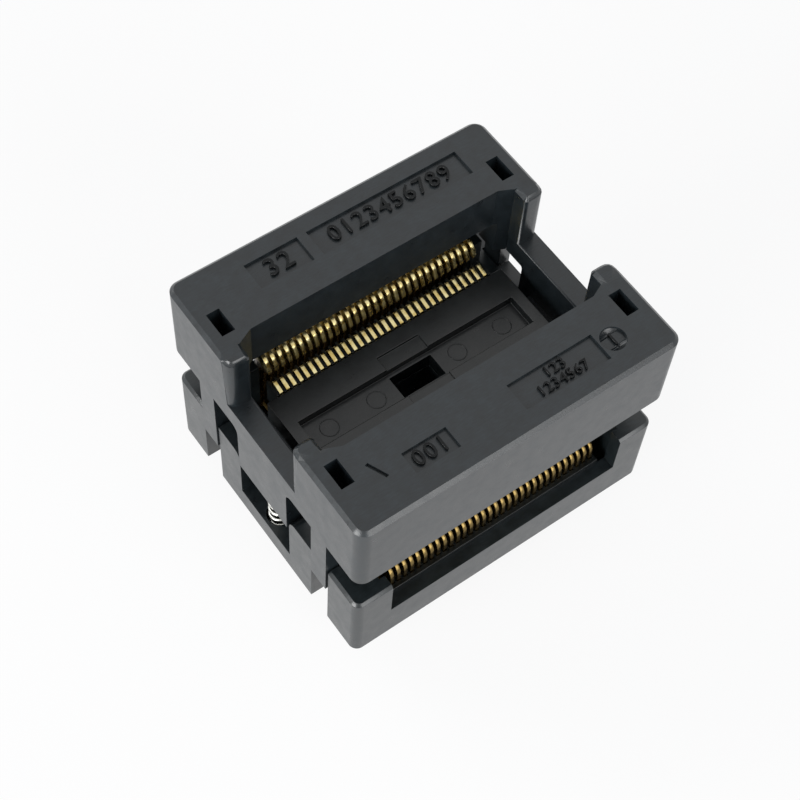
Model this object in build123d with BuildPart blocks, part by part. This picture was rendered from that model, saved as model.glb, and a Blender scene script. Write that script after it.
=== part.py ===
from build123d import *
import math
import os

os.makedirs("parts", exist_ok=True)

# A push-down, open-top test socket for a flat package with two rows of fine-pitch leads.
# X runs along the contact rows, Y across them and Z up, in millimetres.
# The origin is the middle of the base's underside, where the socket sits on its board.

# Contact rows
contacts_per_row = 32
pitch = 0.50
strip = 0.26  # width of one contact along the row
side_clearance = 0.03

# Heights from the board up
floor = 1.20
rail_height = 1.70
band_height = 3.00
post_height = 6.30
core_height = 7.70
seat_thickness = 1.20
finger_rise = 0.80  # from the seat's plate to the top of the fingers
travel = 3.00
stroke_play = 0.40  # between skirt and posts when the cover is down
skirt_depth = 6.20

# Base housing along X, outwards from the end of a contact row
row_end_gap = 0.20
row_post_length = 0.85
row_post_play = 0.17
core_end_gap = 0.30
end_wall = 2.25
side_opening_step = 0.40
seat_overhang = 0.10
spring_inset = 1.10

# Base housing across, outwards from the middle
core_half_width = 3.25
comb_wall = 0.75
stem_width = 0.55
arm_offset = 1.50
bow_reach = 2.50
comb_gap = 0.05
outer_comb_thickness = 0.30
band_thickness = 0.90
bay_half_width = 2.70
row_post_width = 1.05
tail_window_margin = 0.60

# Base housing's other sizes
base_corner = 0.60
post_rounding = 0.70
post_edge = 0.20
core_pocket_depth = 3.50
row_post_rise = 0.30

# Locating pegs under two opposite corners
peg_radius = 0.75
peg_length = 1.50
peg_lead_in = 0.25
peg_inset_x = 1.45
peg_inset_y = 1.60

# Cover frame, drawn in its released place
cover_overhang_x = 0.10
cover_overhang_y = 0.15
cover_corner = 0.80
cover_edge = 0.25
low_wall_thickness = 1.35
low_wall_height = 1.60
bay_play = 0.03
bay_step = 0.45
bay_end_inset = 0.20
notch_step = 0.65
notch_draft = 4.0
notch_rounding = 0.60
lip_thickness = 0.50
lip_drop = 1.70
outer_wall = 1.00
head_play = 0.15
press_step = 0.35
press_step_width = 1.65
cavity_end_play = 0.10

# Cover legs with their hooks, and the tongue that carries each spring
leg_inset = 3.825
leg_width = 1.55
leg_thickness = 0.90
leg_play = 0.10
leg_foot_play = 0.95
hook_reach = 0.80
hook_height = 0.95
hook_play = 0.10
tongue_play = 0.10
tongue_foot_play = 0.70
tongue_blend = 0.60
boss_half_width = 1.45
boss_height = 2.20
boss_gap = 0.25
slot_length = 1.75
slot_width = 0.88

# Return springs
spring_outer = 1.60
spring_wire = 0.24
spring_turns = 6
spring_play = 0.08
spring_seat = 0.50
spring_bore_depth = 1.60
spring_sides = 6
spring_steps = 10  # straight runs in one turn

# Marking fields on the cover's top, left bare
field_depth = 0.12
field_inset = 2.35
field_height = 1.80
long_field = (3.05, 10.90)
square_field = (-5.00, 3.60)
line_field = (4.00, 6.00)
digit_field = (-5.06, 2.90)
digit_field_height = 1.35
round_field_x = 8.00
round_field_radius = 0.75

# Package seat
ledge_rise = 0.60
ledge_start_y = 1.10
end_bar = 0.80
seat_window_length = 3.10
seat_window_width = 1.60
cross_groove_depth = 0.15
cross_groove_width = 1.05

# Fixed contacts
finger_reach = 0.65
finger_thickness = 0.45
bar_thickness = 0.80
bow_rise = 3.70  # from the base floor to the top of the bow
bow_width = 0.50
bow_corner = 0.55
tail_width = 0.45
tail_length = 3.00
tail_near_offset = -0.45
tail_far_offset = 1.35

# Moving arms, each with a head over the lead and a short press lever
arm_root_radius = 0.30
arm_root_gap = 0.05
arm_half_width = 0.22
neck_inset = 0.60
neck_outset = 0.10
neck_drop = 0.10
head_reach = 1.43
head_chin_rise = 0.12
head_nose_rise = 0.35
head_round = 0.45
head_top_inset = 0.50
head_top_rise = 1.35
lever_reach = 1.35
lever_drop = 0.15
lever_thickness = 0.50

# Comb strips between the contacts
comb_bar_height = 4.20
comb_bar_drop = 0.50
comb_tooth_height = 2.00
comb_tooth_drop = 0.20
outer_comb_rise = 0.35

# Guides that close the base floor around the tails
guide_play = 0.03
tail_play = 0.05

# Places worked out from those sizes, along X
row_half = (contacts_per_row - 1) * pitch / 2
row_end = row_half + strip / 2
row_post_x = row_end + row_end_gap
well_half_length = row_post_x + row_post_length + row_post_play
core_half_length = well_half_length - core_end_gap
side_opening_half = well_half_length - side_opening_step
base_end = well_half_length + end_wall
cover_end = base_end + cover_overhang_x
opening_half_length = cover_end - low_wall_thickness
bay_half_length = well_half_length - bay_end_inset
cavity_half_length = well_half_length + cavity_end_play
leg_inner_x = cover_end - leg_thickness
slot_floor_x = leg_inner_x - leg_play
hook_floor_x = slot_floor_x - hook_reach
spring_x = base_end - spring_inset

# Across the rows
stem_start_y = core_half_width + comb_wall
stem_end_y = stem_start_y + stem_width
arm_root_y = stem_end_y + arm_offset
bow_outer_y = arm_root_y + bow_reach
outer_comb_y = bow_outer_y + comb_gap + outer_comb_thickness
base_side = outer_comb_y + band_thickness
cover_side = base_side + cover_overhang_y
head_nose_y = arm_root_y - head_reach
package_bay_y = head_nose_y + bay_play
opening_y = package_bay_y - bay_step
notch_y = opening_y - notch_step
lip_y = package_bay_y + lip_thickness
cover_wall_y = cover_side - outer_wall
press_step_y = cover_wall_y - press_step_width
leg_middle_y = base_side - leg_inset
leg_slot_half = leg_width / 2 + leg_play
tail_near_y = arm_root_y + tail_near_offset
tail_far_y = arm_root_y + tail_far_offset
window_start_y = tail_near_y - tail_width / 2 - tail_window_margin
window_end_y = tail_far_y + tail_width / 2 + tail_window_margin

# And up
skirt = post_height + stroke_play + travel
cover_top = skirt + skirt_depth
low_wall_top = skirt + low_wall_height
seat_top = core_height + seat_thickness
ledge_top = seat_top + ledge_rise
finger_top = seat_top + finger_rise
head_top = finger_top + head_top_rise
lever_top = head_top - lever_drop
roof_z = head_top + travel + head_play
lip_z = roof_z - lip_drop
press_z = roof_z - press_step
leg_end = leg_foot_play + travel
hook_catch_height = leg_end + hook_height + hook_play
tongue_end = rail_height + travel + tongue_foot_play
bow_top = floor + bow_rise
arm_root_z = bow_top - bow_width / 2

places = [i * pitch - row_half for i in range(contacts_per_row)]
gaps = [(a + b) / 2 for a, b in zip(places, places[1:])]
sides = (-1, 1)
corners = [(i, j) for i in sides for j in sides]


def block(x_range, y_range, z_range, mode=Mode.ADD):
    """A plain block between three pairs of limits."""
    x0, x1 = sorted(x_range)
    y0, y1 = sorted(y_range)
    z0, z1 = sorted(z_range)
    with Locations(((x0 + x1) / 2, (y0 + y1) / 2, (z0 + z1) / 2)):
        Box(x1 - x0, y1 - y0, z1 - z0, mode=mode)


# Base housing: floor, end posts, low side bands, core under the seat, locating pegs
with BuildPart() as base_housing:
    with BuildSketch():
        RectangleRounded(2 * base_end, 2 * base_side, base_corner)
    extrude(amount=post_height)
    block((-well_half_length, well_half_length), (-outer_comb_y, outer_comb_y),
          (floor, post_height), Mode.SUBTRACT)
    block((-side_opening_half, side_opening_half), (-base_side, base_side),
          (band_height, post_height), Mode.SUBTRACT)
    for i in sides:
        block((i * side_opening_half, i * base_end), (-bay_half_width, bay_half_width),
              (rail_height, post_height), Mode.SUBTRACT)
    post_tops = base_housing.edges().filter_by(Axis.X).group_by(Axis.Z)[-1]
    middle_post_tops = post_tops.filter_by(lambda e: abs(e.center().Y) < leg_middle_y)
    fillet(middle_post_tops, post_rounding)
    for i, j in corners:
        slot_y = (j * (leg_middle_y - leg_slot_half), j * (leg_middle_y + leg_slot_half))
        block((i * slot_floor_x, i * base_end), slot_y, (0, post_height), Mode.SUBTRACT)
        block((i * hook_floor_x, i * slot_floor_x), slot_y, (0, hook_catch_height), Mode.SUBTRACT)
    outer_tops = base_housing.edges().group_by(Axis.Z)[-1]
    outer_tops = outer_tops.filter_by(lambda e: abs(e.center().Y) > base_side - base_corner / 2)
    chamfer(outer_tops, post_edge)
    block((-core_half_length, core_half_length), (-core_half_width, core_half_width), (floor, core_height))
    block((-seat_window_length / 2, seat_window_length / 2), (-seat_window_width / 2, seat_window_width / 2),
          (core_height - core_pocket_depth, core_height), Mode.SUBTRACT)
    for i, j in corners:
        block((i * row_post_x, i * (row_post_x + row_post_length)),
              (j * (arm_root_y - 2 * row_post_width / 3), j * (arm_root_y + row_post_width / 3)),
              (floor, finger_top + row_post_rise))
    for j in sides:
        block((-row_post_x, row_post_x), (j * window_start_y, j * window_end_y), (0, floor), Mode.SUBTRACT)
    for i in sides:
        with Locations((i * spring_x, 0, rail_height)):
            Hole(spring_outer / 2 + spring_play, rail_height - spring_seat)
        with BuildSketch():
            with Locations((i * (base_end - peg_inset_x), i * (base_side - peg_inset_y))):
                Circle(peg_radius)
        extrude(amount=-peg_length)
    peg_tips = base_housing.edges().group_by(Axis.Z)[0]
    chamfer(peg_tips, peg_lead_in)
base_housing.part.label = "base_housing"
export_step(base_housing.part, "parts/base_housing.step")


# Cover frame: two long bars joined by low end walls, hollow underneath over the contact arms
with BuildPart() as cover_frame:
    with BuildSketch(Plane.XY.offset(skirt)):
        RectangleRounded(2 * cover_end, 2 * cover_side, cover_corner)
    extrude(amount=skirt_depth)
    chamfer(cover_frame.faces().sort_by(Axis.Z)[-1].edges(), cover_edge)
    with BuildSketch(Plane.XY.offset(skirt)):
        Rectangle(2 * opening_half_length, 2 * opening_y)
        bay_corner_x = bay_half_length + bay_step
        with BuildLine():
            Polyline((bay_corner_x, opening_y), (bay_half_length, package_bay_y),
                     (-bay_half_length, package_bay_y), (-bay_corner_x, opening_y),
                     (-bay_corner_x, -opening_y), (-bay_half_length, -package_bay_y),
                     (bay_half_length, -package_bay_y), (bay_corner_x, -opening_y), close=True)
        make_face()
    extrude(amount=skirt_depth, mode=Mode.SUBTRACT)
    with BuildSketch(Plane.YZ.offset(-cover_end)):
        round_z = cover_top - notch_rounding
        round_y = notch_y + (round_z - low_wall_top) * math.tan(math.radians(notch_draft))
        arc_step = notch_rounding * math.sin(math.pi / 4)
        with BuildLine():
            Polyline((0, low_wall_top), (notch_y, low_wall_top), (round_y, round_z))
            ThreePointArc((round_y, round_z), (round_y + notch_rounding - arc_step, round_z + arc_step),
                          (round_y + notch_rounding, cover_top))
            Polyline((round_y + notch_rounding, cover_top), (0, cover_top))
            mirror(about=Plane.YZ)
        make_face()
    extrude(amount=2 * cover_end, mode=Mode.SUBTRACT)
    bore_x = (-cavity_half_length, cavity_half_length)
    for j in sides:
        block(bore_x, (j * lip_y, j * press_step_y), (skirt, roof_z), Mode.SUBTRACT)
        block(bore_x, (j * press_step_y, j * cover_wall_y), (skirt, press_z), Mode.SUBTRACT)
        block(bore_x, (j * opening_y, j * lip_y), (skirt, lip_z), Mode.SUBTRACT)
    tongue_half = bay_half_width - tongue_play
    for i in sides:
        block((i * opening_half_length, i * cover_end), (-tongue_half, tongue_half), (tongue_end, skirt))
    roots = cover_frame.edges().filter_by(Axis.X)
    roots = roots.filter_by(lambda e: abs(e.center().Z - skirt) < 0.01)
    roots = roots.filter_by(lambda e: abs(abs(e.center().Y) - tongue_half) < 0.01)
    fillet(roots, tongue_blend)
    for i in sides:
        block((i * (core_half_length + boss_gap), i * opening_half_length),
              (-boss_half_width, boss_half_width), (tongue_end, tongue_end + boss_height))
        with BuildSketch(Plane.XY.offset(tongue_end)):
            with Locations((i * spring_x, 0)):
                Circle(spring_outer / 2 + spring_play)
        extrude(amount=spring_bore_depth, mode=Mode.SUBTRACT)
    for i, j in corners:
        leg_y = (j * (leg_middle_y - leg_width / 2), j * (leg_middle_y + leg_width / 2))
        block((i * leg_inner_x, i * cover_end), leg_y, (leg_end, skirt))
        hook_tip = leg_inner_x - hook_reach + hook_play
        hook_top = leg_end + hook_height
        with BuildSketch(Plane.XZ.offset(-leg_y[0])):
            with BuildLine():
                Polyline((i * leg_inner_x, leg_end), (i * (hook_tip + hook_height / 2), leg_end),
                         (i * hook_tip, leg_end + hook_height / 2), (i * hook_tip, hook_top),
                         (i * leg_inner_x, hook_top), close=True)
            make_face()
        extrude(amount=-j * leg_width)
        with BuildSketch(Plane.XY.offset(skirt)):
            with Locations((i * (leg_inner_x - slot_width / 2), j * leg_middle_y)):
                Rectangle(slot_width, slot_length)
        extrude(amount=skirt_depth, mode=Mode.SUBTRACT)
    field_y = cover_side - field_inset
    with BuildSketch(Plane.XY.offset(cover_top - field_depth)):
        for field_x, field_length in (long_field, square_field):
            with Locations((field_x, field_y)):
                Rectangle(field_length, field_height)
        with Locations((line_field[0], -field_y)):
            Rectangle(line_field[1], field_height)
        with Locations((digit_field[0], -field_y)):
            Rectangle(digit_field[1], digit_field_height)
        with Locations((round_field_x, -field_y)):
            Circle(round_field_radius)
    extrude(amount=field_depth, mode=Mode.SUBTRACT)
cover_frame.part.label = "cover_frame"
export_step(cover_frame.part, "parts/cover_frame.step")


# Package seat: plate on the core with two raised ledges, end bars and a window
with BuildPart() as package_seat:
    seat_end = core_half_length + seat_overhang
    block((-seat_end, seat_end), (-core_half_width, core_half_width), (core_height, ledge_top))
    block((end_bar - seat_end, seat_end - end_bar), (-ledge_start_y, ledge_start_y),
          (seat_top, ledge_top), Mode.SUBTRACT)
    window = (-seat_window_length / 2, seat_window_length / 2)
    block(window, (-seat_window_width / 2, seat_window_width / 2), (core_height, ledge_top), Mode.SUBTRACT)
    for j in sides:
        block(window, (j * ledge_start_y, j * (ledge_start_y + cross_groove_width)),
              (ledge_top - cross_groove_depth, ledge_top), Mode.SUBTRACT)
package_seat.part.label = "package_seat"
export_step(package_seat.part, "parts/package_seat.step")


def stampings(outline, row_places):
    """Flat stampings with one outline in the YZ plane, one at each place along the row."""
    with BuildPart() as row:
        with BuildSketch(*[Plane.YZ.offset(place - strip / 2) for place in row_places]):
            with BuildLine():
                outline()
            make_face()
        extrude(amount=strip)
    return row.part


def contact_outline(side, tail_y):
    """Fixed half of a contact: finger, stem, bar with its tail, and the outer spring bow."""
    bar_top = floor + bar_thickness
    bow_inner_y = bow_outer_y - bow_width
    bow_end_y = arm_root_y + arm_root_radius + arm_root_gap
    finger_y = core_half_width + comb_wall - finger_reach
    bow_bevel = bow_corner * (1 - math.sin(math.pi / 4))
    Polyline((side * (bow_outer_y - bow_corner), bow_top), (side * bow_end_y, bow_top),
             (side * bow_end_y, bow_top - bow_width), (side * bow_inner_y, bow_top - bow_width),
             (side * bow_inner_y, bar_top), (side * stem_end_y, bar_top), (side * stem_end_y, finger_top),
             (side * finger_y, finger_top), (side * finger_y, finger_top - finger_thickness),
             (side * stem_start_y, finger_top - finger_thickness), (side * stem_start_y, floor),
             (side * (tail_y - tail_width / 2), floor), (side * (tail_y - tail_width / 2), -tail_length),
             (side * (tail_y + tail_width / 2), -tail_length), (side * (tail_y + tail_width / 2), floor),
             (side * bow_outer_y, floor), (side * bow_outer_y, bow_top - bow_corner),
             (side * (bow_outer_y - bow_bevel), bow_top - bow_bevel), close=True)


def arm_outline(side):
    """Moving half of a contact: root, arm, head over the lead, press lever."""
    root_z = arm_root_z - arm_root_radius
    neck_z = finger_top - neck_drop
    neck_outer_y = arm_root_y + neck_outset
    lever_bottom = lever_top - lever_thickness
    Polyline((side * (arm_root_y - arm_half_width), root_z), (side * (arm_root_y - neck_inset), neck_z),
             (side * head_nose_y, finger_top + head_chin_rise),
             (side * head_nose_y, finger_top + head_nose_rise),
             (side * (head_nose_y + head_round / 2), head_top - head_round),
             (side * (arm_root_y - head_top_inset), head_top), (side * neck_outer_y, lever_top),
             (side * (arm_root_y + lever_reach), lever_top),
             (side * (arm_root_y + lever_reach), lever_bottom),
             (side * neck_outer_y, lever_bottom - arm_root_radius),
             (side * (arm_root_y + arm_half_width), root_z), close=True)


# Contacts and their moving arms, in two rows; near and far tails alternate along each row
for side, row_name in ((1, "back"), (-1, "front")):
    for tail_y, start, kind in ((tail_near_y, 0, "near"), (tail_far_y, 1, "far")):
        contacts = stampings(lambda: contact_outline(side, tail_y), places[start::2])
        contacts.label = f"contacts_{row_name}_{kind}"
        export_step(contacts, f"parts/{contacts.label}.step")
        arms = stampings(lambda: arm_outline(side), places[start::2])
        arms.label = f"arms_{row_name}_{kind}"
        export_step(arms, f"parts/{arms.label}.step")

    # Inner comb: a bar along the core with teeth between the contact stems
    tooth = pitch - strip - 2 * side_clearance
    comb_end = row_end + side_clearance + tooth
    tooth_places = [-comb_end + tooth / 2] + gaps + [comb_end - tooth / 2]
    comb_bar_top = finger_top - comb_bar_drop
    comb_tooth_top = finger_top - comb_tooth_drop
    near = side * (core_half_width + comb_gap)
    with BuildPart() as inner_comb:
        block((-comb_end, comb_end), (near, side * (stem_start_y - comb_gap)),
              (comb_bar_top - comb_bar_height, comb_bar_top))
        with BuildSketch(Plane.XY.offset(comb_tooth_top - comb_tooth_height)):
            with Locations(*[(gap, (near + side * stem_end_y) / 2) for gap in tooth_places]):
                Rectangle(tooth, abs(side * stem_end_y - near))
        extrude(amount=comb_tooth_height)
    inner_comb.part.label = f"inner_comb_{row_name}"
    export_step(inner_comb.part, f"parts/{inner_comb.part.label}.step")

    # Tail guide: a plate let into the base floor, with a hole for every tail
    with BuildPart() as tail_guide:
        with BuildSketch():
            with Locations((0, side * (window_start_y + window_end_y) / 2)):
                Rectangle(2 * (row_post_x - guide_play), window_end_y - window_start_y - 2 * guide_play)
            for tail_y, start in ((tail_near_y, 0), (tail_far_y, 1)):
                with Locations(*[(place, side * tail_y) for place in places[start::2]]):
                    Rectangle(strip + 2 * side_clearance, tail_width + 2 * tail_play, mode=Mode.SUBTRACT)
        extrude(amount=floor)
    tail_guide.part.label = f"tail_guide_{row_name}"
    export_step(tail_guide.part, f"parts/{tail_guide.part.label}.step")

    # Outer comb: a strip against the side band with teeth between the spring bows
    far = side * outer_comb_y
    tooth_end = side * (bow_outer_y - bow_width)
    outer_comb_height = band_height + outer_comb_rise - floor
    with BuildPart() as outer_comb:
        block((-comb_end, comb_end), (far, side * (bow_outer_y + comb_gap)),
              (floor, floor + outer_comb_height))
        with BuildSketch(Plane.XY.offset(floor)):
            with Locations(*[(gap, (far + tooth_end) / 2) for gap in tooth_places]):
                Rectangle(tooth, abs(far - tooth_end))
        extrude(amount=outer_comb_height)
    outer_comb.part.label = f"outer_comb_{row_name}"
    export_step(outer_comb.part, f"parts/{outer_comb.part.label}.step")


# Return springs, one in each end between the base pocket and the cover's tongue
coil_bottom = spring_seat + spring_wire / 2
coil_height = tongue_end + spring_bore_depth - spring_wire / 2 - coil_bottom
coil_radius = (spring_outer - spring_wire) / 2
runs = spring_turns * spring_steps


def coil_point(middle_x, run):
    """Point of the coil's centre line at the start of a straight run."""
    angle = 2 * math.pi * run / spring_steps
    height = coil_bottom + coil_height * run / runs
    return (middle_x + coil_radius * math.cos(angle), coil_radius * math.sin(angle), height)


for i, end_name in ((-1, "left"), (1, "right")):
    with BuildPart() as spring:
        with BuildLine() as coil:
            Polyline(*[coil_point(i * spring_x, run) for run in range(runs + 1)])
        with BuildSketch(Plane(origin=coil.line @ 0, z_dir=coil.line % 0)):
            RegularPolygon(spring_wire / 2, spring_sides)
        sweep(transition=Transition.RIGHT)
    spring.part.label = f"spring_{end_name}"
    export_step(spring.part, f"parts/{spring.part.label}.step")
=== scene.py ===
import math
import bpy
from mathutils import Matrix, Vector


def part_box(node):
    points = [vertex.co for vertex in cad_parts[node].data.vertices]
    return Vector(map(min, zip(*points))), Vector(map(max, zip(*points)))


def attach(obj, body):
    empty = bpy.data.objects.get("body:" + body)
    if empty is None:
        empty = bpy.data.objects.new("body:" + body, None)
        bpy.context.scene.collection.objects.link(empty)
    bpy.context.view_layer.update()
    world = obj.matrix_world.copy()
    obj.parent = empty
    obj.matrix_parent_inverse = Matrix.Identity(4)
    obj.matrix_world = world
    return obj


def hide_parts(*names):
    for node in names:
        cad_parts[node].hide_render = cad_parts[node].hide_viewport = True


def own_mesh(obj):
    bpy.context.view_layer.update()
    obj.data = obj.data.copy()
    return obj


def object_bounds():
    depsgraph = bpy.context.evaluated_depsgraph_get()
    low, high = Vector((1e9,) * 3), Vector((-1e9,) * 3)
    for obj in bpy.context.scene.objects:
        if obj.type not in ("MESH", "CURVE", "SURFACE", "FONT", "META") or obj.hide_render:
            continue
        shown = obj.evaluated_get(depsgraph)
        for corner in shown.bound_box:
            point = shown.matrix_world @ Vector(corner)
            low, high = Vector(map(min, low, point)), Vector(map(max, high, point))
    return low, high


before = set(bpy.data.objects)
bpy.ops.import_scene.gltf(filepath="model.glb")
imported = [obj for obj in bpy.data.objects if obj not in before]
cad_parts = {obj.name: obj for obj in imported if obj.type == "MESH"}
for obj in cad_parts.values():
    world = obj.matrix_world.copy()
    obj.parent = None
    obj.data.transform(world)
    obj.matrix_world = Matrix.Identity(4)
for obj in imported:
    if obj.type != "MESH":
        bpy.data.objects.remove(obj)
cad_low, cad_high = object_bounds()
bpy.ops.object.select_all(action="DESELECT")
mm = 0.001


# Camera: looks down over the near left corner of the socket from about 105 mm, a little rolled.
# Its place and lens were worked out from the corners of the base, the cover and the slots, and its
# angles were then turned by a few degrees, because the photograph is squeezed sideways.
azimuth = math.radians(-40.00)
elevation = math.radians(59.00)
roll = math.radians(5.00)
distance = 104.71 * mm
aim = Vector((0, 0, 8.0 * mm))
slide_right = -1.04 * mm
slide_up = -1.03 * mm
focal_pixels = 1691
image_pixels = 800
nearest_seen = 5 * mm
level = Vector((math.cos(azimuth), math.sin(azimuth), 0))
away = Vector((math.sin(azimuth), -math.cos(azimuth), 0))
back = math.cos(elevation) * away + Vector((0, 0, math.sin(elevation)))
upward = back.cross(level)
right = math.cos(roll) * level + math.sin(roll) * upward
top = math.cos(roll) * upward - math.sin(roll) * level
bpy.ops.object.camera_add()
camera = bpy.context.object
camera.data.lens = camera.data.sensor_width * focal_pixels / image_pixels
camera.data.clip_start = nearest_seen
camera.matrix_world = Matrix((right, top, back)).transposed().to_4x4()
camera.location = aim + back * distance + right * slide_right + top * slide_up
bpy.context.scene.camera = camera


# Studio: an even white surround, as in a light tent, with a large softbox low on the left and two
# weaker ones in front and behind. The tent is white to the camera and in gloss, and lights softly.
tent_light = 0.30


def linear(code):
    """An sRGB hex colour as the linear values that a shader takes."""
    parts = [int(code[i:i + 2], 16) / 255 for i in (1, 3, 5)]
    return [p / 12.92 if p <= 0.04045 else ((p + 0.055) / 1.055) ** 2.4 for p in parts] + [1]


def add_node(tree, kind, links=None, **settings):
    """One shader node, with its settings and with what feeds its sockets."""
    node = tree.nodes.new(kind)
    for name, value in settings.items():
        if hasattr(node, name):
            setattr(node, name, value)
        else:
            node.inputs[name.replace("_", " ")].default_value = value
    for name, socket in (links or {}).items():
        tree.links.new(socket, node.inputs[name])
    return node


def seen_directly(tree):
    """1 for rays from the camera, and for what metal, gloss and glass show; 0 for falling light."""
    path = add_node(tree, "ShaderNodeLightPath")
    either = add_node(tree, "ShaderNodeMath", {0: path.outputs["Is Camera Ray"],
                                               1: path.outputs["Is Glossy Ray"]},
                      operation="MAXIMUM")
    return add_node(tree, "ShaderNodeMath", {0: either.outputs[0],
                                             1: path.outputs["Is Transmission Ray"]},
                    operation="MAXIMUM").outputs[0]


bpy.context.scene.view_settings.view_transform = "Standard"
surround = bpy.data.worlds.new("light_tent")
bpy.context.scene.world = surround
surround.use_nodes = True
tree = surround.node_tree
tree.nodes.clear()
seen = seen_directly(tree)
seen_white = add_node(tree, "ShaderNodeBackground", Color=linear("#ffffff"), Strength=1.0)
soft_light = add_node(tree, "ShaderNodeBackground", Color=linear("#f4f7ff"), Strength=tent_light)
mixed = add_node(tree, "ShaderNodeMixShader", {0: seen, 1: soft_light.outputs[0],
                                               2: seen_white.outputs[0]})
add_node(tree, "ShaderNodeOutputWorld", {"Surface": mixed.outputs[0]})

# Each softbox: its direction from the socket, its distance and width in metres, and its watts.
for lamp_name, toward, reach, width, watts in (
        ("left_softbox", (-1.0, -0.15, 0.20), 0.45, 0.30, 2.6),
        ("front_softbox", (0.10, -1.0, 0.35), 0.45, 0.30, 1.2),
        ("back_softbox", (-0.45, 1.0, 0.60), 0.50, 0.35, 0.8)):
    place = aim + Vector(toward).normalized() * reach
    bpy.ops.object.light_add(type="AREA", location=place)
    lamp = bpy.context.object
    lamp.name = lamp_name
    lamp.data.size = width
    lamp.data.energy = watts
    lamp.rotation_euler = (place - aim).to_track_quat("Z", "Y").to_euler()


# Floor: the sheet of white card that the socket stands on with its tails and pegs.
# It keeps a light shadow, and is white in reflections as the surround is.
floor_width = 4
floor_share = 0.12
bpy.ops.mesh.primitive_plane_add(size=floor_width, location=(0, 0, cad_low.z))
floor = bpy.context.object
floor.name = "floor_sheet"
paper = bpy.data.materials.new("white_card")
paper.use_nodes = True
tree = paper.node_tree
tree.nodes.clear()
seen = seen_directly(tree)
card = add_node(tree, "ShaderNodeBsdfDiffuse", Color=linear("#e8e8e6"))
shaded = add_node(tree, "ShaderNodeBsdfDiffuse", Color=[floor_share] * 3 + [1])
glow = add_node(tree, "ShaderNodeEmission", Color=linear("#ffffff"), Strength=1 - floor_share)
lit = add_node(tree, "ShaderNodeAddShader", {0: shaded.outputs[0], 1: glow.outputs[0]})
mixed = add_node(tree, "ShaderNodeMixShader", {0: seen, 1: card.outputs[0], 2: lit.outputs[0]})
add_node(tree, "ShaderNodeOutputMaterial", {"Surface": mixed.outputs[0]})
floor.data.materials.append(paper)


# Base housing: the lower moulding, black glass-filled polyetherimide from an eroded steel tool.
# The eye gets a dark slate skin with a fine dry grain, faint flow streaks and softly rounded edges.
moulded_edge = 0.06 * mm
cad_merge_reach = 0.0005 * mm
flat_within = math.radians(1)
sharp_from = math.radians(30)
smooth_below = math.radians(25)


def glass_filled_plastic(name, dark, light):
    """Glass-filled polyetherimide, moulded: matt, finely mottled, greyer where the fibres lie."""
    mottle_size = 0.9 * mm
    fibre_width = 0.10 * mm
    fibre_stretch = 0.18
    grain_size = 0.14 * mm
    grain_depth = 0.012 * mm
    material = bpy.data.materials.new(name)
    material.use_nodes = True
    tree = material.node_tree
    shader = tree.nodes["Principled BSDF"]
    shader.inputs["IOR"].default_value = 1.55
    place = add_node(tree, "ShaderNodeTexCoord").outputs["Object"]
    mottle = add_node(tree, "ShaderNodeTexNoise", {"Vector": place}, Scale=1 / mottle_size,
                      Detail=4, Roughness=0.6)
    streaked = add_node(tree, "ShaderNodeMapping", {"Vector": place}, Scale=(fibre_stretch, 1, 1))
    fibres = add_node(tree, "ShaderNodeTexNoise", {"Vector": streaked.outputs[0]},
                      Scale=1 / fibre_width, Detail=2)
    grain = add_node(tree, "ShaderNodeTexNoise", {"Vector": place}, Scale=1 / grain_size,
                     Detail=3, Roughness=0.7)
    blend = add_node(tree, "ShaderNodeMath", {0: mottle.outputs["Fac"], 1: fibres.outputs["Fac"]},
                     operation="MULTIPLY")
    tint = add_node(tree, "ShaderNodeValToRGB", {"Fac": blend.outputs[0]})
    tint.color_ramp.elements[0].position = 0.15
    tint.color_ramp.elements[0].color = linear(dark)
    tint.color_ramp.elements[1].position = 0.42
    tint.color_ramp.elements[1].color = linear(light)
    gloss = add_node(tree, "ShaderNodeMapRange", {"Value": mottle.outputs["Fac"]}, From_Min=0.3,
                     From_Max=0.7, To_Min=0.27, To_Max=0.37)
    skin = add_node(tree, "ShaderNodeBump", {"Height": grain.outputs["Fac"]}, Strength=0.35,
                    Distance=grain_depth)
    tree.links.new(tint.outputs["Color"], shader.inputs["Base Color"])
    tree.links.new(gloss.outputs["Result"], shader.inputs["Roughness"])
    tree.links.new(skin.outputs["Normal"], shader.inputs["Normal"])
    return material


def chosen(piece):
    """Makes one piece the only selected and active one."""
    bpy.ops.object.select_all(action="DESELECT")
    piece.select_set(True)
    bpy.context.view_layer.objects.active = piece


def modifier(piece, kind, **settings):
    """One modifier on a piece, with its settings."""
    added = piece.modifiers.new(kind.lower(), kind)
    for setting, value in settings.items():
        setattr(added, setting, value)
    return added


def applied(piece, kind, **settings):
    """One modifier on the active piece, with its settings, made part of its mesh at once."""
    bpy.ops.object.modifier_apply(modifier=modifier(piece, kind, **settings).name)


def merged_copy(node, name, edge_width):
    """A CAD node's copy: mesh merged, flat faces made whole, and every edge rounded a little."""
    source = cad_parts[node]
    piece = source.copy()
    piece.data = source.data.copy()
    piece.name = name
    bpy.context.collection.objects.link(piece)
    piece.parent = None
    piece.matrix_world = source.matrix_world
    chosen(piece)
    bpy.ops.object.transform_apply(location=True, rotation=True, scale=True)
    applied(piece, "WELD", merge_threshold=cad_merge_reach)
    applied(piece, "DECIMATE", decimate_type="DISSOLVE", angle_limit=flat_within)
    applied(piece, "BEVEL", width=edge_width, segments=2, limit_method="ANGLE",
            angle_limit=sharp_from)
    return piece


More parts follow.
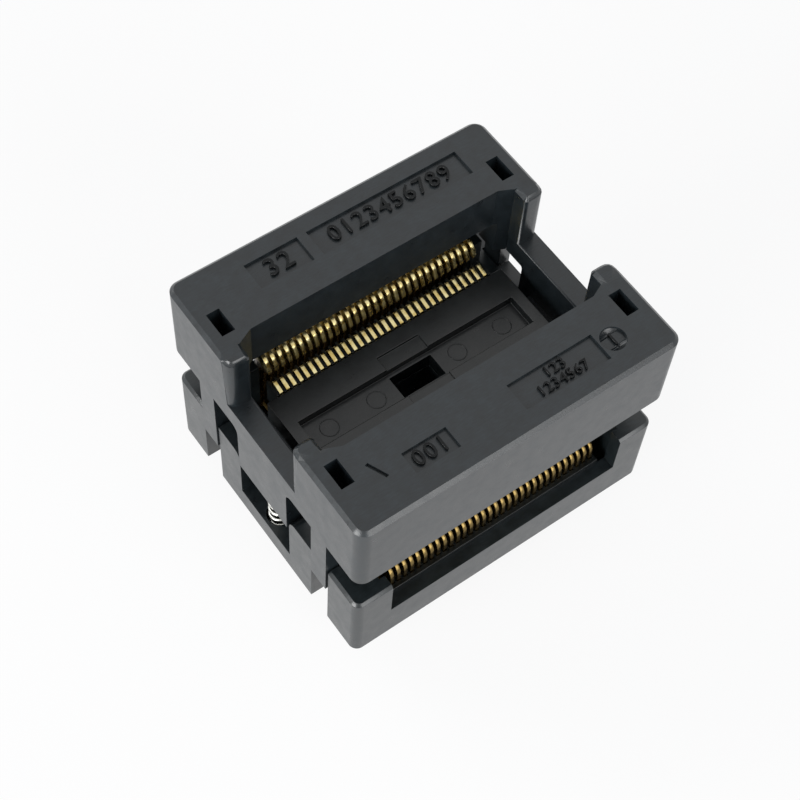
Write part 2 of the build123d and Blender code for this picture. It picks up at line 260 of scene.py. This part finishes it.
def even_shading(piece):
    """Round forms shade smoothly and flat faces stay flat."""
    chosen(piece)
    bpy.ops.object.shade_smooth_by_angle(angle=smooth_below)
    applied(piece, "WEIGHTED_NORMAL", keep_sharp=True)


housing_plastic = glass_filled_plastic("glass_filled_polyetherimide_base", "#151a1c", "#20272a")
lower_housing = merged_copy("base_housing", "lower_housing", moulded_edge)
even_shading(lower_housing)
lower_housing.data.materials.clear()
lower_housing.data.materials.append(housing_plastic)
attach(lower_housing, "base")
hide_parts("base_housing")


# Cover frame: the push-down upper moulding, in the same plastic from another tool. It slides on
# four hooked legs. The stubs beside each end notch, the lining of the low end walls, the corners
# of the spring bays and the sunk marking fields are shaped here. Sizes are in millimetres.
cover_plastic = glass_filled_plastic("glass_filled_polyetherimide_cover", "#14191c", "#1f262a")
merge_reach = 0.001 * mm


def rounded_outline(corners, steps=4):
    """A closed outline with every corner (place, place, radius) turned into a short arc."""
    most_of_side = 0.45
    outline = []
    neighbours = zip(corners[-1:] + corners[:-1], corners, corners[1:] + corners[:1])
    for before, corner, after in neighbours:
        middle = Vector(corner[:2])
        back_way = Vector(before[:2]) - middle
        on_way = Vector(after[:2]) - middle
        reach = min(corner[2], most_of_side * back_way.length, most_of_side * on_way.length)
        if not reach:
            outline.append(middle)
            continue
        first = middle + back_way.normalized() * reach
        last = middle + on_way.normalized() * reach
        for step in range(steps + 1):
            t = step / steps
            outline.append((1 - t) ** 2 * first + 2 * t * (1 - t) * middle + t ** 2 * last)
    return outline


def plate(name, outline, thickness, edge, edge_steps):
    """A flat plate of one outline, with its edges cut back by edge, lying across the origin."""
    bpy.ops.curve.primitive_bezier_curve_add()
    sheet = bpy.context.object
    sheet.name = name
    sheet.location = (0, 0, 0)
    sheet.data.dimensions = "2D"
    sheet.data.fill_mode = "BOTH"
    sheet.data.splines.clear()
    line = sheet.data.splines.new("POLY")
    line.points.add(len(outline) - 1)
    for point, place in zip(line.points, outline):
        point.co = (place.x * mm, place.y * mm, 0, 1)
    line.use_cyclic_u = True
    sheet.data.extrude = (thickness / 2 - edge) * mm
    sheet.data.bevel_depth = edge * mm
    sheet.data.bevel_resolution = edge_steps
    sheet.data.offset = -edge * mm
    bpy.ops.object.convert(target="MESH")
    return bpy.context.object


def standing_block(name, plan, low_z, high_z, bevel=0):
    """A solid of one plan outline in X and Y, from low_z to high_z."""
    outline = rounded_outline(plan) if len(plan[0]) == 3 else [Vector(corner) for corner in plan]
    block = plate(name, outline, high_z - low_z, bevel, 0)
    block.location = (0, 0, (low_z + high_z) / 2 * mm)
    bpy.ops.object.transform_apply(location=True, rotation=True, scale=True)
    applied(block, "WELD", merge_threshold=merge_reach)
    bpy.ops.object.mode_set(mode="EDIT")
    bpy.ops.mesh.select_all(action="SELECT")
    bpy.ops.mesh.normals_make_consistent(inside=False)
    bpy.ops.object.mode_set(mode="OBJECT")
    return block


def rectangle(middle_x, middle_y, length, height, grow=0.0):
    """Corners of an upright rectangle, grown by a rim all round."""
    x, y = length / 2 + grow, height / 2 + grow
    return [(middle_x - x, middle_y - y), (middle_x + x, middle_y - y),
            (middle_x + x, middle_y + y), (middle_x - x, middle_y + y)]


def joined(blocks, name):
    """Several solids as one object."""
    bpy.ops.object.select_all(action="DESELECT")
    for block in blocks:
        block.select_set(True)
    bpy.context.view_layer.objects.active = blocks[0]
    bpy.ops.object.join()
    bpy.context.object.name = name
    return bpy.context.object


# The added blocks stop a few thousandths short of the cover's own faces, so each join is clean.
lining_x, lining_thickness, lining_length = 10.09, 0.28, 8.24
lining_low, lining_high = 9.705, 11.293
stub_inner, stub_outer = 9.953, 11.444
notch_half, stub_root = 3.07, 4.93
stub_low, stub_high = 10.6, 15.894
stub_bevel = 0.25
bay_floor, above_cover = 9.0, 16.5
added, cut = [], []
for i in (-1, 1):
    lining = rectangle(i * lining_x, 0, lining_thickness, lining_length)
    added.append(standing_block("wall_lining", lining, lining_low, lining_high))
    for j in (-1, 1):
        stub = [(i * stub_inner, j * notch_half, 0.25), (i * stub_outer, j * notch_half, 0.65),
                (i * stub_outer, j * stub_root, 0), (i * stub_inner, j * stub_root, 0)]
        added.append(standing_block("notch_stub", stub, stub_low, stub_high, bevel=stub_bevel))
        corner = [(i * 9.25, j * 4.05), (i * 9.944, j * 4.05), (i * 9.944, j * 4.19),
                  (i * 8.93, j * 4.645), (i * 8.75, j * 4.55)]
        cut.append(standing_block("bay_corner", corner, bay_floor, above_cover))
field_y, field_height, field_rim = 7.60, 1.80, 0.07
field_floor = 15.68
round_x, round_radius = 8.00, 0.83
fields = {
    "long": rectangle(3.05, field_y, 10.90, field_height, field_rim),
    "square": rectangle(-5.00, field_y, 3.60, field_height, field_rim),
    "lines": rectangle(4.00, -field_y, 6.00, field_height, field_rim),
    "digits": rectangle(-5.06, -field_y, 2.90, 1.35, field_rim),
    "round": [(round_x + round_radius * math.cos(math.radians(a)),
               -field_y + round_radius * math.sin(math.radians(a))) for a in range(0, 360, 10)],
    "index": [(-8.66, -6.34), (-8.44, -6.28), (-7.88, -7.56), (-8.10, -7.62)]}
for field_name, plan in fields.items():
    cut.append(standing_block(f"{field_name}_field", plan, field_floor, above_cover))
pressed_cover = merged_copy("cover_frame", "pressed_cover", moulded_edge)
for operation, blocks in (("UNION", added), ("DIFFERENCE", cut)):
    for block in blocks:
        chosen(pressed_cover)
        applied(pressed_cover, "BOOLEAN", operation=operation, solver="EXACT", object=block)
        bpy.data.objects.remove(block)
even_shading(pressed_cover)
pressed_cover.data.materials.clear()
pressed_cover.data.materials.append(cover_plastic)
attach(pressed_cover, "cover")
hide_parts("cover_frame")


# Numbers on the cover: plain figures moulded in the five marking fields, 0.02 mm below its top.
# Their dark colour is painted shade, standing in for the shadow that moulded characters hold, and a
# low IOR dims their sheen, so they read darker than the cover.
figure_half_height = 0.10
letter_spacing = 1.12
figures = []
for figure, middle, height in (("0123456789", (3.05, 7.60), 1.62), ("32", (-5.00, 7.60), 1.75),
                               ("123", (4.00, -7.17), 0.95), ("1234567", (4.00, -8.02), 0.95),
                               ("001", (-5.06, -7.60), 1.45), ("1", (8.00, -7.60), 1.20)):
    bpy.ops.object.text_add(location=(0, 0, 0))
    words = bpy.context.object
    words.data.body = figure
    words.data.size = height * mm
    words.data.align_x = "CENTER"
    words.data.align_y = "CENTER"
    words.data.space_character = letter_spacing
    words.data.resolution_u = 3
    words.data.extrude = figure_half_height * mm
    bpy.ops.object.convert(target="MESH")
    words = bpy.context.object
    words.location = (middle[0] * mm, middle[1] * mm, (field_floor + figure_half_height) * mm)
    bpy.ops.object.transform_apply(location=True, rotation=True, scale=True)
    figures.append(words)
numbers = joined(figures, "moulded_numbers")
applied(numbers, "WELD", merge_threshold=merge_reach)
# Painted shade: near-black figures in place of the shade in and around moulded characters.
figure_shade_plastic = glass_filled_plastic("figure_faces_painted_shade", "#0a0c0d", "#121516")
figure_shade_plastic.node_tree.nodes["Principled BSDF"].inputs["IOR"].default_value = 1.30
numbers.data.materials.append(figure_shade_plastic)
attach(numbers, "cover")


# Package seat, combs and tail guides: inner mouldings of the same plastic. Their darker colour is
# painted shade, for they lie in the shadow of the cover. The seat carries the package, the combs
# keep the contacts apart, and the guides close the base's floor around the tails. They keep their
# CAD shapes and get small rounded edges.
seat_edge = 0.05 * mm
comb_edge = 0.02 * mm


def soften(node, width, material):
    """Whole faces instead of loose triangles, then small rounded edges, on a CAD node."""
    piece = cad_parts[node]
    modifier(piece, "WELD", merge_threshold=cad_merge_reach)
    modifier(piece, "DECIMATE", decimate_type="DISSOLVE", angle_limit=flat_within)
    modifier(piece, "BEVEL", width=width, segments=2, limit_method="ANGLE",
             angle_limit=sharp_from, harden_normals=True)
    piece.data.materials.clear()
    piece.data.materials.append(material)


# Painted shade: this plastic is darker than the frames' to stand in for the cover's shadow.
shade_painted_plastic = glass_filled_plastic("glass_filled_polyetherimide_painted_shade", "#0b0e0f", "#14191a")
soften("package_seat", seat_edge, shade_painted_plastic)
for comb_name in ("inner_comb_back", "inner_comb_front", "outer_comb_back", "outer_comb_front",
                  "tail_guide_back", "tail_guide_front"):
    soften(comb_name, comb_edge, shade_painted_plastic)


# Ring marks on the package seat: witness rings that four ejector pins left in the plastic as the
# seat was pushed out of its mould, standing a hair proud of the plate.
ring_radius, ring_wire = 0.60 * mm, 0.035 * mm
seat_z = 8.90 * mm
round_below = math.radians(40)
rings = []
for ring_x in (-6.55, -3.08, 3.08, 6.55):
    bpy.ops.mesh.primitive_torus_add(major_radius=ring_radius, minor_radius=ring_wire,
                                     major_segments=48, minor_segments=8,
                                     location=(ring_x * mm, 0, seat_z))
    rings.append(bpy.context.object)
ring_marks = joined(rings, "seat_ring_marks")
bpy.ops.object.transform_apply(location=True, rotation=True, scale=True)
bpy.ops.object.shade_smooth_by_angle(angle=round_below)
# The rings share the darker inner plastic, whose darkness is painted shade.
ring_marks.data.materials.append(shade_painted_plastic)
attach(ring_marks, "base")


# Contacts and arms: strip of beryllium copper, stamped and plated with gold over nickel. They
# stand in the combs' slots, near and far tails in turn. A contact has a lower finger, a stem, a
# spring bow and a tail, and its arm has the head that presses on the lead and the press lever.
def gold_plate(name, deep, bright, plating_and_shade_edge, bare_and_shaded):
    """Gold over nickel, pale and satin; below the given height it is darker, partly thinner plating
    and partly painted shade.
    """
    cloud_size = 0.45 * mm
    plating_and_shade_fade = 0.15 * mm
    material = bpy.data.materials.new(name)
    material.use_nodes = True
    tree = material.node_tree
    shader = tree.nodes["Principled BSDF"]
    shader.inputs["Metallic"].default_value = 1.0
    place = add_node(tree, "ShaderNodeTexCoord").outputs["Object"]
    cloud = add_node(tree, "ShaderNodeTexNoise", {"Vector": place}, Scale=1 / cloud_size, Detail=3)
    tint = add_node(tree, "ShaderNodeValToRGB", {"Fac": cloud.outputs["Fac"]})
    tint.color_ramp.elements[0].position = 0.35
    tint.color_ramp.elements[0].color = linear(deep)
    tint.color_ramp.elements[1].position = 0.65
    tint.color_ramp.elements[1].color = linear(bright)
    height = add_node(tree, "ShaderNodeSeparateXYZ", {"Vector": place}).outputs["Z"]
    # Below the given height the colour fades to the darker one: partly thinner plating, partly
    # painted shade.
    plating_and_shade_share = add_node(tree, "ShaderNodeMapRange", {"Value": height},
                      From_Min=plating_and_shade_edge - plating_and_shade_fade, From_Max=plating_and_shade_edge + plating_and_shade_fade)
    # A colour Mix takes its share at socket 0 and its two colours at sockets 6 and 7.
    blend = add_node(tree, "ShaderNodeMix", data_type="RGBA")
    blend.inputs[6].default_value = linear(bare_and_shaded)
    tree.links.new(plating_and_shade_share.outputs["Result"], blend.inputs[0])
    tree.links.new(tint.outputs["Color"], blend.inputs[7])
    gloss = add_node(tree, "ShaderNodeMapRange", {"Value": cloud.outputs["Fac"]}, From_Min=0.3,
                     From_Max=0.7, To_Min=0.22, To_Max=0.36)
    tree.links.new(blend.outputs[2], shader.inputs["Base Color"])
    tree.links.new(gloss.outputs["Result"], shader.inputs["Roughness"])
    return material


# Painted shade: below 6.5 mm the contacts' bows and tails are dark ochre, for the cover's shadow.
# Below 10.05 mm the arms' necks are darker, partly bare of gold and partly painted shade.
contact_gold = gold_plate("gold_plated_beryllium_copper_painted_shade", "#c2aa66", "#ecdfa9", 6.5 * mm, "#75633c")
arm_gold = gold_plate("head_plated_beryllium_copper_painted_shade", "#c2aa66", "#ecdfa9", 10.05 * mm, "#6a5733")

# The outline of each stamping, corner by corner: place across the rows, height, and radius.
tail_half, point_half = 0.225, 0.10
rows = {}
for row_name, side in (("back", 1), ("front", -1)):
    for kind, tail_y in (("near", 5.60), ("far", 7.40)):
        rows[f"contacts_{row_name}_{kind}"] = (side, "base", "stamped_contacts", (
            (6.40, 4.90, 0.10), (8.55, 4.90, 1.05), (8.55, 1.20, 0.30),
            (tail_y + tail_half, 1.20, 0.10), (tail_y + tail_half, -2.70, 0.05),
            (tail_y + point_half, -3.00, 0.04), (tail_y - point_half, -3.00, 0.04),
            (tail_y - tail_half, -2.70, 0.05), (tail_y - tail_half, 1.20, 0.10),
            (4.00, 1.20, 0.15), (4.00, 9.10, 0.15), (3.50, 9.05, 0.10), (3.35, 9.22, 0.10),
            (3.35, 9.46, 0.10), (4.22, 9.70, 0.12), (4.55, 8.95, 0.30), (4.55, 2.00, 0.35),
            (8.05, 2.00, 0.40), (8.05, 4.40, 0.60), (6.40, 4.40, 0.10)))
        rows[f"arms_{row_name}_{kind}"] = (side, f"arms_{row_name}", "swinging_arms", (
            (5.83, 4.35, 0.20), (5.45, 9.55, 0.50), (4.90, 9.83, 0.15), (4.62, 9.90, 0.08),
            (4.62, 10.20, 0.20), (4.95, 10.82, 0.45), (5.45, 11.05, 0.35), (6.10, 10.90, 0.35),
            (7.40, 10.90, 0.18), (7.40, 10.40, 0.18), (6.45, 10.35, 0.35), (6.17, 9.60, 0.60),
            (6.27, 4.35, 0.20)))

# The strip's thickness, its deburred edge and the pitch along a row, in millimetres. A node has
# every other stamping of its row.
strip = 0.26
burr_free_edge = 0.03
pitch = 0.50
per_node = 16
for node, (side, body, kind_name, corners) in rows.items():
    low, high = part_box(node)
    outline = [Vector((side * place.x, place.y)) for place in rounded_outline(corners)]
    stamping = plate(kind_name + node[node.index("_"):], outline, strip, burr_free_edge, 1)
    stamping.rotation_euler = (math.pi / 2, 0, math.pi / 2)
    stamping.location = (low.x + strip / 2 * mm, 0, 0)
    bpy.ops.object.transform_apply(location=True, rotation=True, scale=True)
    applied(stamping, "WELD", merge_threshold=merge_reach)
    applied(stamping, "ARRAY", count=per_node, use_relative_offset=False,
            use_constant_offset=True, constant_offset_displace=(2 * pitch * mm, 0, 0))
    bpy.ops.object.shade_smooth_by_angle(angle=round_below)
    stamping.data.materials.append(contact_gold if body == "base" else arm_gold)
    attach(stamping, body)
    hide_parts(node)


# Return springs: drawn stainless wire, cold coiled with closed ends. One stands in the bay at each
# end of the base, under the cover's tongue, and pushes the cover up. It is 6.5 mm long when
# released and 3.5 mm when the cover is down.
spring_steel = bpy.data.materials.new("drawn_stainless_spring_wire")
spring_steel.use_nodes = True
shader = spring_steel.node_tree.nodes["Principled BSDF"]
shader.inputs["Metallic"].default_value = 1.0
shader.inputs["Base Color"].default_value = linear("#c6c6c1")
shader.inputs["Roughness"].default_value = 0.22
wire = 0.24 * mm
closed_turns = 2
open_turns = 8
turns = open_turns + closed_turns
steps_per_turn = 24
for end_name in ("left", "right"):
    low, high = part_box(f"spring_{end_name}")
    middle = (low + high) / 2
    radius = (high.y - low.y - wire) / 2
    start_z = low.z + wire / 2
    rise = high.z - low.z - wire - closed_turns * wire
    points = []
    for step in range(turns * steps_per_turn + 1):
        turn = step / steps_per_turn
        open_part = min(max(turn - closed_turns / 2, 0), open_turns)
        closed_part = turn - open_part
        angle = 2 * math.pi * turn
        points.append((middle.x + radius * math.cos(angle), middle.y + radius * math.sin(angle),
                       start_z + wire * closed_part + rise * open_part / open_turns))
    bpy.ops.curve.primitive_nurbs_path_add()
    coil = bpy.context.object
    coil.name = f"return_spring_{end_name}"
    coil.location = (0, 0, 0)
    coil.data.splines.clear()
    line = coil.data.splines.new("POLY")
    line.points.add(len(points) - 1)
    for point, place in zip(line.points, points):
        point.co = (*place, 1)
    coil.data.bevel_depth = wire / 2
    coil.data.bevel_resolution = 3
    coil.data.use_fill_caps = True
    bpy.ops.object.convert(target="MESH")
    coil = bpy.context.object
    applied(coil, "WELD", merge_threshold=merge_reach)
    bpy.ops.object.shade_smooth_by_angle(angle=round_below)
    coil.data.materials.append(spring_steel)
    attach(coil, "base")
    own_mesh(coil)
    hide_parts(f"spring_{end_name}")
